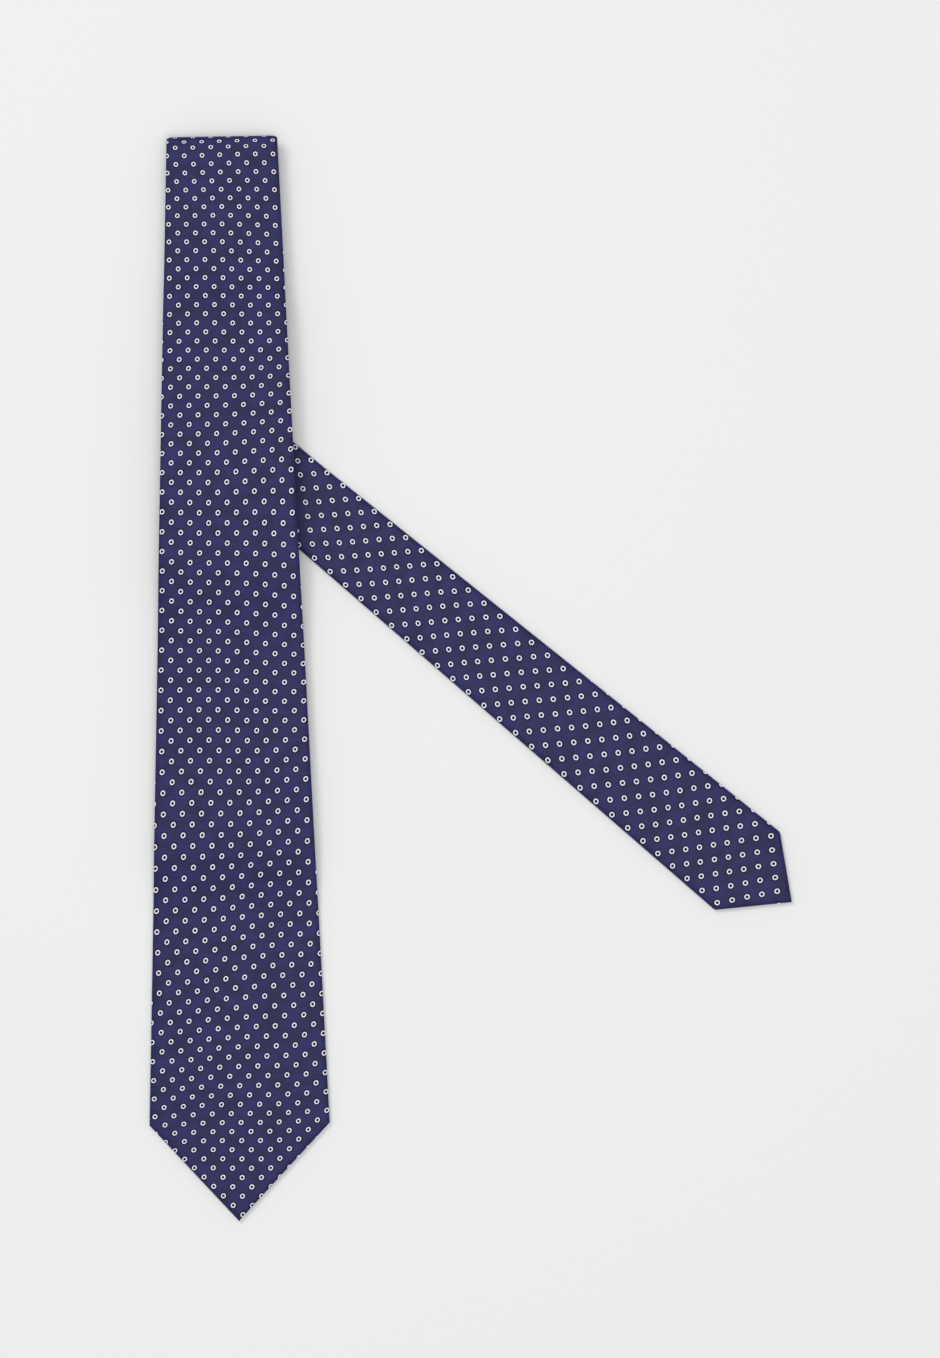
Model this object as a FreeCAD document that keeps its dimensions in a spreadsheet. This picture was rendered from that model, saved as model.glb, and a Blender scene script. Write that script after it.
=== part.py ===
"""A folded necktie, lying face up on a table.

The tie is one long strip, folded four times.  Counted along the strip from the wide tip:
the front blade, the top fold, the back run, the lower fold, the middle run, the inner fold,
the inner run, the diagonal tail fold and the tail.  Each run is a hollow shell sleeve, a ply
thick, round a woollen interlining, and closed along its back by a slip-stitched seam.
All runs but the tail are drawn in the blade's own frame: the outer edge of the top fold is on
y = 0, the wide tip points along -Y and the table is z = 0.  The tail has a frame of its own,
with its fold at the origin and its tip along -Y.  Millimetres and degrees.
"""

import FreeCAD, Part
import math
import os
import Sketcher

VECTOR = FreeCAD.Vector
ORIGIN_POINT = -1       # Sketcher's own number for the sketch's axes
START, END, CENTRE = 1, 2, 3

DRIVING = {
    # the strip
    "total_length": 1480.0,
    "blade_length": 481.0,         # from the top fold to the wide tip
    "blade_width": 80.0,
    "blade_tip_height": 43.0,
    "fold_width": 49.0,            # of the blade at the top fold
    "neck_width": 34.6,
    "tail_straight": 300.3,        # from the middle of the tail fold to the tail's corners
    "tail_width": 45.1,
    "tail_tip_height": 24.0,
    # how it lies
    "tail_angle": 49.2,            # between the blade and the tail
    "tail_fold_depth": 133.4,      # of the middle of the tail fold, below the top fold
    "inner_fold_drop": 3.0,        # of the inner fold's outer edge, below the top fold's
    "layer": 2.1,                  # thickness of one run
    "air": 0.3,                    # between two runs
    "rest_gap": 0.6,               # what tacks and labels lift the tail and the blade by
    "first_ramp": 50.0,            # where the runs start to climb over the tail
    "first_ramp_length": 35.0,
    "second_ramp": 176.0,          # where they come down beyond it
    "second_ramp_length": 60.0,
    "third_ramp": 306.0,           # where the blade comes down beyond the lower fold
    "third_ramp_length": 45.0,
    # what it is made of
    "ply": 0.35,
    "ease": 0.05,                  # between a shell and its filling
    "edge_ease": 1.2,              # the same, along the pressed side edges
    "lining": 0.25,
    "slit": 0.4,                   # of the seam down the back, filled by its thread
    "seam": 0.3,                   # between two shell panels, filled by its thread
    "roll": 0.15,                  # inner radius of a fold
    "neck_seam_depth": 120.0,      # in the back run, below the top fold
    "tail_seam_depth": 110.0,      # in the middle run
    "join_depth": 155.0,           # of the two interlinings, in the middle run
    "interlining_short": 4.0,      # how far the interlining stops from a tip's hem
    # the back of the blade
    "blade_tack_depth": 385.0,
    "blade_flap": 13.0,            # width of the flap left at the corner
    "hem": 4.0,
    "lining_cover": 24.0,          # how far the lining runs up past a bar tack
    "keeper_depth": 298.0,
    "keeper_width": 10.0,
    "keeper_span": 58.0,
    "keeper_thickness": 1.1,
    "keeper_clear": 3.2,
    "keeper_foot": 4.0,
    "keeper_slope": 5.0,
    "label_depth": 364.0,
    "label_width": 46.0,
    "label_height": 24.0,
    "label_thickness": 0.35,
    "stitch_width": 1.2,
    "stitch_thickness": 0.2,
    # the back of the tail
    "tail_tack_depth": 254.0,
    "tail_flap": 8.0,
    "care_depth": 214.0,
    "care_width": 16.0,
    "care_height": 30.0,
    "care_thickness": 0.3,
    "tack_length": 1.8,
    "tack_width": 8.0,
    "tack_thickness": 0.4,
}


class Size:
    """A number that carries the spreadsheet expression it is worked out from."""

    def __init__(self, value, text):
        self.value = float(value)
        self.text = text

    def combined(self, sign, other, value):
        return Size(value, f"({self.text} {sign} {other.text})")

    def __add__(self, other):
        other = as_size(other)
        return self.combined("+", other, self.value + other.value)

    def __sub__(self, other):
        other = as_size(other)
        return self.combined("-", other, self.value - other.value)

    def __mul__(self, other):
        other = as_size(other)
        return self.combined("*", other, self.value * other.value)

    def __truediv__(self, other):
        other = as_size(other)
        return self.combined("/", other, self.value / other.value)

    def __neg__(self):
        return as_size(0.0) - self

    def __radd__(self, other):
        return as_size(other) + self

    def __rsub__(self, other):
        return as_size(other) - self

    def __rmul__(self, other):
        return as_size(other) * self


def as_size(number):
    return number if isinstance(number, Size) else Size(number, f"{number}")


def sine(angle):
    return Size(math.sin(math.radians(angle.value)), f"sin({angle.text})")


def cosine(angle):
    return Size(math.cos(math.radians(angle.value)), f"cos({angle.text})")


def root(size):
    return Size(math.sqrt(size.value), f"sqrt({size.text})")


class Dims:
    """The driving dimensions, each as a Size bound to its cell of the spreadsheet."""

    def __init__(self, document, driving):
        self.sheet = document.addObject("Spreadsheet::Sheet", "dims")
        for row, (name, value) in enumerate(driving.items(), start=1):
            self.sheet.set(f"A{row}", name)
            self.sheet.set(f"B{row}", str(value))
            self.sheet.setAlias(f"B{row}", name)
            setattr(self, name, Size(value, f"dims.{name}"))
        document.recompute()


# ---------------------------------------------------------------- sketches and features

class Edge:
    """One edge of a closed outline: it starts at (x, y) and runs to the next edge's start.

    With a centre it is an arc round that point, counter-clockwise or clockwise.
    """

    def __init__(self, x, y, centre=None, ccw=True):
        self.x = as_size(x)
        self.y = as_size(y)
        self.centre = centre
        self.ccw = ccw


def add_loop(sketch, loop):
    """Adds a closed outline to a sketch and binds every corner of it to the spreadsheet."""
    ends = []
    for edge, following in zip(loop, loop[1:] + loop[:1]):
        a = VECTOR(edge.x.value, edge.y.value, 0)
        b = VECTOR(following.x.value, following.y.value, 0)
        if edge.centre is None:
            index = sketch.addGeometry(Part.LineSegment(a, b))
            ends.append((index, START, END))
            continue
        centre = VECTOR(edge.centre[0].value, edge.centre[1].value, 0)
        circle = Part.Circle(centre, VECTOR(0, 0, 1), (a - centre).Length)
        start, stop = (a, b) if edge.ccw else (b, a)
        angles = [math.atan2(p.y - centre.y, p.x - centre.x) for p in (start, stop)]
        index = sketch.addGeometry(Part.ArcOfCircle(circle, *angles))
        ends.append((index, START, END) if edge.ccw else (index, END, START))
    for here, following in zip(ends, ends[1:] + ends[:1]):
        sketch.addConstraint(
            Sketcher.Constraint("Coincident", here[0], here[2], following[0], following[1])
        )
    for edge, (index, start, _) in zip(loop, ends):
        pin(sketch, "DistanceX", index, start, edge.x)
        pin(sketch, "DistanceY", index, start, edge.y)
        if edge.centre is None:
            continue
        # the free coordinate of an arc's centre is the one across its chord
        arc = sketch.Geometry[index]
        chord = arc.EndPoint - arc.StartPoint
        if abs(chord.x) > abs(chord.y):
            pin(sketch, "DistanceY", index, CENTRE, edge.centre[1])
        else:
            pin(sketch, "DistanceX", index, CENTRE, edge.centre[0])


def pin(sketch, kind, index, point, size):
    """Holds one coordinate of a point of the sketch at a size from the spreadsheet."""
    constraint = sketch.addConstraint(
        Sketcher.Constraint(kind, ORIGIN_POINT, 1, index, point, size.value)
    )
    sketch.setExpression(f"Constraints[{constraint}]", size.text)


def new_sketch(body, name, role, loops):
    sketch = body.newObject("Sketcher::SketchObject", name)
    plane = [o for o in body.Origin.OriginFeatures if o.Role == role][0]
    sketch.AttachmentSupport = (plane, [""])
    sketch.MapMode = "FlatFace"
    for loop in loops:
        add_loop(sketch, loop)
    return sketch


def new_body(document, name):
    body = document.addObject("PartDesign::Body", name)
    body.Label = name
    return body


def pad_across(body, sketch, length):
    """Pads a sketch evenly to both sides of its plane."""
    pad = body.newObject("PartDesign::Pad", f"{body.Name}_pad")
    pad.Profile = sketch
    pad.SideType = "Symmetric"
    pad.Length = as_size(length).value
    pad.setExpression("Length", as_size(length).text)
    return pad


def trim_to(body, name, outline):
    """Cuts away everything outside an outline seen from above."""
    reach = as_size(700.0)
    frame = [Edge(-reach, reach), Edge(-reach, -reach), Edge(reach, -reach), Edge(reach, reach)]
    sketch = new_sketch(body, f"{name}_plan", "XY_Plane", [frame, outline])
    pocket = body.newObject("PartDesign::Pocket", f"{name}_trim")
    pocket.Profile = sketch
    pocket.Type = "ThroughAll"
    pocket.SideType = "Symmetric"
    return pocket


def cut(document, name, base, tool):
    result = document.addObject("Part::Cut", name)
    result.Base = base
    result.Tool = tool
    result.Label = name
    return result


def fuse(document, name, shapes):
    result = document.addObject("Part::MultiFuse", name)
    result.Shapes = shapes
    return result


def block(document, name, centre, size):
    """A box of three sizes, centred in x and y and standing on its given z."""
    box = document.addObject("Part::Box", name)
    box.Label = name
    for prop, amount in zip(("Length", "Width", "Height"), size):
        box.setExpression(prop, as_size(amount).text)
    corner = (centre[0] - size[0] / 2, centre[1] - size[1] / 2, as_size(centre[2]))
    return box, corner


# ---------------------------------------------------------------- the runs of the strip

class Run:
    """One flat length of the strip, hanging down -Y from a fold.

    half and flare give half its width at a depth: half + flare * depth.
    levels are the heights of its underside, and each ramp (start, length) leads to the next.
    start and end are (depth, slope): the cut across the strip at its middle and how much
    deeper it gets per millimetre of x.  A run that ends in a point has a tip height instead.
    """

    def __init__(self, name, half, flare, levels, ramps, start, end, seam_on_top):
        self.name = name
        self.half = as_size(half)
        self.flare = as_size(flare)
        self.levels = levels
        self.ramps = ramps
        self.start = start
        self.end = end
        self.seam_on_top = seam_on_top
        self.waist = None       # depth beyond which the width stays the same
        self.tip_height = None

    def reach(self):
        """The depths between which the side view is drawn."""
        spread = [0.0, 0.0]
        for number, (depth, slope) in enumerate((self.start, self.end)):
            lean = as_size(slope)
            if abs(lean.value) > 0:
                spread[number] = (self.half + 2.0) * lean * (1.0 if lean.value > 0 else -1.0)
        return self.start[0] - spread[0], self.end[0] + spread[1]

    def corner(self, side, cut_line, inset):
        """Where a cut across the strip meets one side of it, moved in by inset."""
        depth, slope = cut_line
        half = self.half - inset
        flare = self.flare
        if self.waist is not None and as_size(depth).value > self.waist.value:
            half = half + flare * self.waist
            flare = as_size(0.0)
        x = side * (half + flare * depth) / (1.0 - side * flare * slope)
        return Edge(x, -(depth + slope * x))

    def outline(self, inset=0.0, start=None, end=None, tip_inset=None):
        start = start or self.start
        end = end or self.end
        left = [self.corner(-1.0, start, inset)]
        right = [self.corner(1.0, start, inset)]
        waist = self.waist
        if waist is not None and as_size(start[0]).value < waist.value < as_size(end[0]).value:
            left.append(self.corner(-1.0, (waist, 0.0), inset))
            right.append(self.corner(1.0, (waist, 0.0), inset))
        if self.tip_height is not None and end is self.end:
            return left + self.point(inset, tip_inset or inset) + right[::-1]
        left.append(self.corner(-1.0, end, inset))
        right.append(self.corner(1.0, end, inset))
        return left + right[::-1]

    def corner_half(self):
        return self.half + self.flare * (self.end[0] - self.tip_height)

    def point(self, inset, tip_inset):
        """The two corners and the tip of a pointed end, moved in from its sides and its hem."""
        half = self.corner_half()
        steep = self.tip_height / half
        tip = -self.end[0] + root(1.0 + steep * steep) * tip_inset
        shoulder = tip + steep * (half - inset)
        return [Edge(-(half - inset), shoulder), Edge(0.0, tip), Edge(half - inset, shoulder)]

    def slit(self, half, end):
        """A narrow slot down the middle of the run, from its start to a cut across it."""
        corners = [(-half, self.start), (-half, end), (half, end), (half, self.start)]
        return [Edge(x, -(cut_line[0] + cut_line[1] * x)) for x, cut_line in corners]

    def opening(self, tack_depth, flap, hem, slit):
        """The kite left open between a bar tack and the point."""
        half = self.corner_half()
        wide = half - flap
        steep = self.tip_height / half
        tip = -self.end[0] + root(1.0 + steep * steep) * hem
        waist = tip + steep * wide
        return [
            Edge(slit / 2, -tack_depth), Edge(-slit / 2, -tack_depth),
            Edge(-wide, waist), Edge(0.0, tip), Edge(wide, waist),
        ]

    def line(self, height, backwards=False):
        """The side view's edges at a height above the run's underside, from start to end."""
        begin, finish = self.reach()
        edges = [Edge(-begin, self.levels[0] + height)]
        for (depth, length), low, high in zip(self.ramps, self.levels, self.levels[1:]):
            climb = high - low
            up = climb.value > 0
            radius = (length * length + climb * climb) / (climb * (4.0 if up else -4.0))
            lift = radius if up else -radius
            low = low + height
            high = high + height
            edges.append(Edge(-depth, low, (-depth, low + lift), not up))
            middle = -(depth + length / 2)
            edges.append(Edge(middle, low + climb / 2, (-(depth + length), high - lift), up))
            edges.append(Edge(-(depth + length), high))
        edges.append(Edge(-finish, self.levels[-1] + height))
        if not backwards:
            return edges
        turned = []
        for edge, before in zip(edges[::-1], edges[-2::-1] + [None]):
            centre = before.centre if before else None
            turned.append(Edge(edge.x, edge.y, centre, not before.ccw if before else True))
        return turned

    def strip(self, document, name, plan, low, high):
        """A layer of cloth between two heights above the run's underside, cut to its plan."""
        body = new_body(document, name)
        side = self.line(as_size(low)) + self.line(as_size(high), backwards=True)
        pad_across(body, new_sketch(body, f"{name}_side", "YZ_Plane", [side]), 200.0)
        trim_to(body, name, plan)
        return body


def fold_ring(document, name, role, bulge, centre, radii, length):
    """A half ring round a fold's axis, padded along it."""
    body = new_body(document, name)
    h, z = centre
    out, into = radii[1], radii[0]
    ring = [
        Edge(h, z - out, centre, bulge > 0), Edge(h, z + out),
        Edge(h, z + into, centre, bulge < 0), Edge(h, z - into),
    ]
    pad_across(body, new_sketch(body, f"{name}_ring", role, [ring]), length)
    return body


def build(document):
    d = Dims(document, DRIVING)
    pitch = d.layer + d.air
    gap = d.rest_gap
    inside = d.ply + d.ease
    outer_roll = d.roll + d.layer
    flare = (d.blade_width - d.fold_width) / 2 / (d.blade_length - d.blade_tip_height)
    half_angle = d.tail_angle / 2
    crease = cosine(half_angle) / sine(half_angle)
    tail_length = d.tail_straight + d.tail_tip_height
    tail_flare = (d.tail_width - d.neck_width) / 2 / d.tail_straight
    half_turn = (d.roll + d.layer / 2) * math.pi
    inner_axis = d.inner_fold_drop + outer_roll
    # the lower fold lies where the strip adds up to its length
    flat_length = (
        d.blade_length - outer_roll + d.tail_fold_depth + tail_length
        - outer_roll - inner_axis * 2 + half_turn * 4
    )
    lower_axis = (d.total_length - flat_length) / 2

    ramp_1 = (d.first_ramp, d.first_ramp_length)
    ramp_2 = (d.second_ramp, d.second_ramp_length)
    ramp_3 = (d.third_ramp, d.third_ramp_length)
    square = as_size(0.0)
    zero = as_size(0.0)
    neck = d.neck_width / 2

    front = Run(
        "front", d.fold_width / 2, flare,
        [pitch * 3, gap + pitch * 4, pitch * 2, gap], [ramp_1, ramp_2, ramp_3],
        (outer_roll, square), (d.blade_length, square), False,
    )
    front.tip_height = d.blade_tip_height
    back = Run(
        "back", d.fold_width / 2, -flare,
        [pitch * 2, gap + pitch * 3, pitch], [ramp_1, ramp_2],
        (outer_roll, square), (lower_axis, square), True,
    )
    back.waist = (d.fold_width - d.neck_width) / 2 / flare
    middle = Run(
        "middle", neck, 0.0, [pitch, gap + pitch * 2, zero], [ramp_1, ramp_2],
        (inner_axis, square), (lower_axis, square), False,
    )
    inner = Run(
        "inner", neck, 0.0, [zero, gap + pitch], [ramp_1],
        (inner_axis, square), (d.tail_fold_depth, crease), True,
    )
    tail = Run(
        "tail", neck, tail_flare, [gap], [], (zero, -crease), (tail_length, square), False,
    )
    tail.tip_height = d.tail_tip_height
    runs = (front, back, middle, inner, tail)

    nodes = {}

    def keep(shape, group):
        nodes[shape.Name] = (shape, group)

    # the shells: each run's outside is cut into panels, and one hollow serves them all
    seams = {"back": (d.neck_seam_depth, as_size(1.0)), "middle": (d.tail_seam_depth, as_size(1.0))}
    panels = {
        "front": ["blade_shell_front"],
        "back": ["blade_shell_back", "neck_shell_upper"],
        "middle": ["tail_shell_upper", "neck_shell_lower"],
        "inner": ["tail_shell_neck"],
        "tail": ["tail_shell_tip"],
    }
    openings = {
        "front": (d.blade_tack_depth, d.blade_flap, d.hem),
        "tail": (d.tail_tack_depth, d.tail_flap, d.hem * 0.75),
    }
    lean = math.sqrt(2.0)
    for run in runs:
        name = run.name
        group = "tail" if run is tail else "blade"
        seam_low = d.layer - d.ply if run.seam_on_top else zero
        seam_high = seam_low + d.ply
        slit_end = (openings[name][0], square) if name in openings else run.end
        slit_plan = run.slit(d.slit / 2, slit_end)
        cavity = run.strip(document, f"{name}_cavity", run.outline(d.ply), d.ply, d.layer - d.ply)
        slit = run.strip(document, f"{name}_slit", slit_plan, seam_low, seam_high)
        hollows = [cavity, slit]
        if name in openings:
            tack_depth, flap, hem = openings[name]
            kite = run.opening(tack_depth, flap, hem, d.slit)
            hollows.append(run.strip(document, f"{name}_kite", kite, seam_low, seam_high))
        hollow = fuse(document, f"{name}_hollow", hollows)
        plans = [run.outline()]
        if name in seams:
            depth, slope = seams[name]
            near = (depth - d.seam / 2 * lean, slope)
            far = (depth + d.seam / 2 * lean, slope)
            plans = [run.outline(end=near), run.outline(start=far)]
            ring = run.strip(
                document, f"{name}_ring", run.outline(start=near, end=far), 0.0, d.layer
            )
            label = "neck_seam_thread" if run is back else "tail_seam_thread"
            keep(cut(document, label, ring, hollow), group)
        for label, plan in zip(panels[name], plans):
            outside = run.strip(document, f"{label}_outside", plan, 0.0, d.layer)
            keep(cut(document, label, outside, hollow), group)
        thread = run.strip(document, f"slip_stitch_{name}", slit_plan, seam_low, seam_high)
        keep(thread, group)

    # the interlinings, left thinner where a lining lies against them
    lined = inside + d.lining + d.ease
    top = d.layer - inside
    side = d.ply + d.edge_ease
    short = inside + d.interlining_short
    near = (d.join_depth - d.ease, as_size(1.0))
    far = (d.join_depth + d.ease, as_size(1.0))
    fillings = (
        ("blade_interlining_front", front, front.outline(side, tip_inset=short), lined),
        ("blade_interlining_back", back, back.outline(side), inside),
        ("tail_interlining_upper", middle, middle.outline(side, end=near), inside),
        ("blade_interlining_neck", middle, middle.outline(side, start=far), inside),
        ("tail_interlining_neck", inner, inner.outline(side), inside),
        ("tail_interlining_tip", tail, tail.outline(side, tip_inset=short), lined),
    )
    for label, run, plan, low in fillings:
        group = "tail" if run is tail else "blade"
        keep(run.strip(document, label, plan, low, top), group)

    # the linings of the two points, which show in the openings
    linings = (
        ("blade_tipping", front, d.blade_tack_depth - d.lining_cover),
        ("tail_tipping", tail, d.tail_tack_depth - d.lining_cover),
    )
    for label, run, depth in linings:
        group = "tail" if run is tail else "blade"
        plan = run.outline(side, start=(depth, square), tip_inset=side)
        low = d.ply + d.ease / 2
        keep(run.strip(document, label, plan, low, low + d.lining), group)

    # the folds: a half ring of shell round a half ring of interlining
    turn = cosine(zero)
    folds = (
        ("top_fold", "YZ_Plane", 1, -outer_roll, pitch * 3 - d.air / 2, d.fold_width, turn),
        ("lower_fold", "YZ_Plane", -1, -lower_axis, outer_roll, d.neck_width, turn),
        ("inner_fold", "YZ_Plane", 1, -inner_axis, outer_roll, d.neck_width, turn),
        ("tail_fold", "XZ_Plane", -1, zero, gap + outer_roll, d.neck_width, sine(half_angle)),
    )
    for label, role, bulge, h, z, width, shrink in folds:
        centre = (as_size(h), z)
        group = "crease" if label == "tail_fold" else "blade"
        insets = (("outside", zero, zero), ("cavity", d.ply, d.ply), ("interlining", inside, side))
        rings = [
            fold_ring(
                document, f"{label}_{part}", role, bulge, centre,
                (d.roll + inset, outer_roll - inset), (width - edge * 2) / shrink,
            )
            for part, inset, edge in insets
        ]
        keep(cut(document, f"{label}_shell", rings[0], rings[1]), group)
        keep(rings[2], group)

    # small pieces on the back of the blade
    def keep_block(label, centre, size, group):
        box, corner = block(document, label, centre, size)
        nodes[label] = (box, group, corner)

    tack = (d.tack_width, d.tack_length, d.tack_thickness)
    for label, group, depth in (
        ("blade_bar_tack", "blade", d.blade_tack_depth),
        ("tail_bar_tack", "tail", d.tail_tack_depth),
    ):
        keep_block(label, (zero, -depth, gap - d.tack_thickness), tack, group)

    label_under = gap - d.label_thickness
    size = (d.label_width, d.label_height, d.label_thickness)
    keep_block("blank_label", (zero, -d.label_depth, label_under), size, "blade")
    size = (d.care_width, d.care_height, d.care_thickness)
    keep_block("care_label", (zero, -d.care_depth, gap - d.care_thickness), size, "tail")
    stitch = (d.stitch_width, d.label_height, d.stitch_thickness)
    for label, side in (("label_stitch_left", -1.0), ("label_stitch_right", 1.0)):
        x = (d.label_width / 2 - d.stitch_width) * side
        keep_block(label, (x, -d.label_depth, label_under - d.stitch_thickness), stitch, "blade")
    y = -(d.care_depth - d.care_height / 2 + d.stitch_width)
    z = gap - d.care_thickness - d.stitch_thickness
    stitch = (d.care_width, d.stitch_width, d.stitch_thickness)
    keep_block("care_label_stitch", (zero, y, z), stitch, "tail")

    # the keeper loop hangs under the blade, sewn on at its two ends
    under = pitch * 2
    half = d.keeper_span / 2
    bends = [
        (half, zero), (half - d.keeper_foot, zero),
        (half - d.keeper_foot - d.keeper_slope, -d.keeper_clear),
    ]
    profile = [(x, z + under) for x, z in bends]
    above = [Edge(x, z) for x, z in profile] + [Edge(-x, z) for x, z in profile[::-1]]
    below = [Edge(e.x, e.y - d.keeper_thickness) for e in above]
    keeper = new_body(document, "keeper_loop")
    sketch = new_sketch(keeper, "keeper_loop_section", "XZ_Plane", [above + below[::-1]])
    pad_across(keeper, sketch, d.keeper_width)
    nodes["keeper_loop"] = (keeper, "blade", (zero, -d.keeper_depth, zero))
    stitch = (d.stitch_width, d.keeper_width, d.stitch_thickness)
    for label, side in (("keeper_stitch_left", -1.0), ("keeper_stitch_right", 1.0)):
        x = (half - d.keeper_foot / 2) * side
        z = under - d.keeper_thickness - d.stitch_thickness
        keep_block(label, (x, -d.keeper_depth, z), stitch, "blade")

    # everything moves so that the tie's bottom centre is the origin
    right = tail_length * sine(d.tail_angle)
    shift_x = (d.blade_width / 2 - right) / 2
    shift_y = d.blade_length / 2
    angles = {"blade": zero, "crease": half_angle, "tail": d.tail_angle}
    for label, entry in nodes.items():
        shape, group = entry[0], entry[1]
        offset = entry[2] if len(entry) > 2 else (zero, zero, zero)
        place(shape, group, offset, angles[group], (shift_x, shift_y), d.tail_fold_depth)
    return [entry[0] for entry in nodes.values()]


def place(shape, group, offset, angle, shift, fold_depth):
    """Puts a piece in the row's frame: its offset, turned by its group's angle, then shifted."""
    x = shift[0] + offset[0] * cosine(angle) - offset[1] * sine(angle)
    y = shift[1] + offset[0] * sine(angle) + offset[1] * cosine(angle)
    if group != "blade":
        y = y - fold_depth
    for axis, amount in zip("xyz", (x, y, as_size(offset[2]))):
        shape.setExpression(f".Placement.Base.{axis}", amount.text)
    shape.setExpression(".Placement.Rotation.Angle", angle.text)


def check(document):
    """Stops if any object failed to compute or holds no valid shape."""
    for item in document.Objects:
        if any(word in ("Invalid", "Error") for word in item.State):
            raise SystemExit(f"{item.Name} is {item.State}")
        shape = getattr(item, "Shape", None)
        if shape is None:
            continue
        if shape.isNull() or not shape.isValid():
            raise SystemExit(f"{item.Name} has no valid shape")


document = FreeCAD.newDocument("necktie")
pieces = build(document)
document.recompute()
check(document)
os.makedirs("parts", exist_ok=True)
for piece in pieces:
    piece.Shape.exportStep(f"parts/{piece.Label}.step")
    print(f"{piece.Label}: {piece.Shape.Volume:.1f} mm3")
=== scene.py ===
import bpy
import math
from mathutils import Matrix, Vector


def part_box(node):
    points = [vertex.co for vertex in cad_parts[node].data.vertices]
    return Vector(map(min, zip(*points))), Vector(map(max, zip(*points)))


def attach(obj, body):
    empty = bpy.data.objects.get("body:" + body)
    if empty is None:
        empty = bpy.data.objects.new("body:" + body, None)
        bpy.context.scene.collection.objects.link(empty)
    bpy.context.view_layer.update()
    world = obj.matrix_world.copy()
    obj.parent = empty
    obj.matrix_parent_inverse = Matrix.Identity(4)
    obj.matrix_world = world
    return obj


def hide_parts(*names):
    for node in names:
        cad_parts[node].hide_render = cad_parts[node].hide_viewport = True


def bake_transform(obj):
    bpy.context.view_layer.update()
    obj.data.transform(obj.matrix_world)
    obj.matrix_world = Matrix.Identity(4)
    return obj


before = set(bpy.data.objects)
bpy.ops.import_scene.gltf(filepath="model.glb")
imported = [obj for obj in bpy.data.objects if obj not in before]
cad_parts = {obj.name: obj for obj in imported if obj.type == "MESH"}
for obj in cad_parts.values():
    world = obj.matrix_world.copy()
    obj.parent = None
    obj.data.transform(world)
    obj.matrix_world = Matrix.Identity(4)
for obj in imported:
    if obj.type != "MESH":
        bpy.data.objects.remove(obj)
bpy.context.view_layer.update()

# ---- sizes, in millimetres
# The tie is one strip, counted s millimetres from the wide tip.  v is how far a point is
# from the middle of the strip, and n how far it is from the middle of the cloth's
# thickness, towards the face.  d is the depth of a point below the start of its run.

BLADE, TACK, HEM = 481.0, 385.0, 4.0  # depths of the tip and the tack, width of the hem
BLADE_HALF, FOLD_HALF, NECK_HALF, TAIL_HALF = 40.0, 24.5, 17.3, 22.55  # half widths
BLADE_TIP, TAIL_TIP, TAIL_STRAIGHT, TAIL_TACK = 43.0, 24.0, 300.3, 254.0
BLADE_FLAP, TAIL_FLAP, TAIL_HEM = 13.0, 8.0, 3.0
TIP_LEAN, TAIL_LEAN = -1.0, -2.0  # how far the two points lie off the middle
TAIL_PLAIN = 40.0  # how far the tail stays as narrow as the neck
# thickness of a sleeve, air above it, the tail's height, a fold's inner radius
LAYER, AIR, GAP, ROLL = 2.1, 0.3, 0.6, 0.15
HALF = LAYER / 2
PITCH = LAYER + AIR
OUTER_ROLL = ROLL + LAYER
MID_ROLL = ROLL + HALF
TURN = math.pi * MID_ROLL
CREASE_DEPTH = 133.4
CREASE_ANGLE = math.radians(49.2 / 2)
CREASE_SLOPE = 1 / math.tan(CREASE_ANGLE)
INNER_AXIS = 3.0 + OUTER_ROLL
LOWER_AXIS = 270.61
TAPER = (BLADE_HALF - FOLD_HALF) / (BLADE - BLADE_TIP)
TAIL_LENGTH = TAIL_STRAIGHT + TAIL_TIP
NECK_SEAM, TAIL_SEAM = 120.0, 110.0
SILK = 0.2  # thickness of the visible cloth
EDGE = 3.2  # how far in from a pressed edge the sleeve is full

blade_low, blade_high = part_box("blade_shell_front")
SHIFT_X = (blade_low.x + blade_high.x) / 2 * 1000
SHIFT_Y = blade_low.y * 1000 + BLADE


def smooth(t):
    t = min(1.0, max(0.0, t))
    return t * t * (3 - 2 * t)


def lerp(a, b, t):
    return a + (b - a) * t


class Run:
    """A flat length of the strip: heights of its underside, and the ramps between them."""

    def __init__(self, body, levels, ramps, face_up, s_at, tip=None):
        self.body, self.levels, self.ramps = body, levels, ramps
        self.face_up, self.s_at, self.tip = face_up, s_at, tip

    def middle(self, d):
        z = self.levels[0]
        for (start, length), low, high in zip(self.ramps, self.levels, self.levels[1:]):
            rise = high - low
            u = min(max(d - start, 0.0), length)
            radius = (length ** 2 + rise ** 2) / (4 * abs(rise))
            if u <= length / 2:
                climb = radius - math.sqrt(radius ** 2 - u ** 2)
            else:
                climb = abs(rise) - radius + math.sqrt(radius ** 2 - (length - u) ** 2)
            z += math.copysign(climb, rise)
        return z + HALF

    def lean(self, d):
        """How far the cloth has moved sideways at a depth, on the way to an uneven tip."""
        if self.tip is None:
            return 0.0
        start, length, lean = self.tip
        return lean * min(1.0, max(0.0, (d - start) / length))

    def at(self, v, d, n):
        z = self.middle(d) + (n if self.face_up else -n)
        return place(v + self.lean(d), -d, z)


def place(x, y, z):
    return Vector((SHIFT_X + x, SHIFT_Y + y, z)) / 1000


def place_tail(x, y, z, turn):
    """A point given round the middle of the tail's crease, turned about it."""
    c, s = math.cos(turn), math.sin(turn)
    return place(c * x - s * y, s * x + c * y - CREASE_DEPTH, z)


class TailRun(Run):
    def at(self, v, d, n):
        return place_tail(-v - self.lean(d), -d, GAP + HALF + n, 2 * CREASE_ANGLE)


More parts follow.
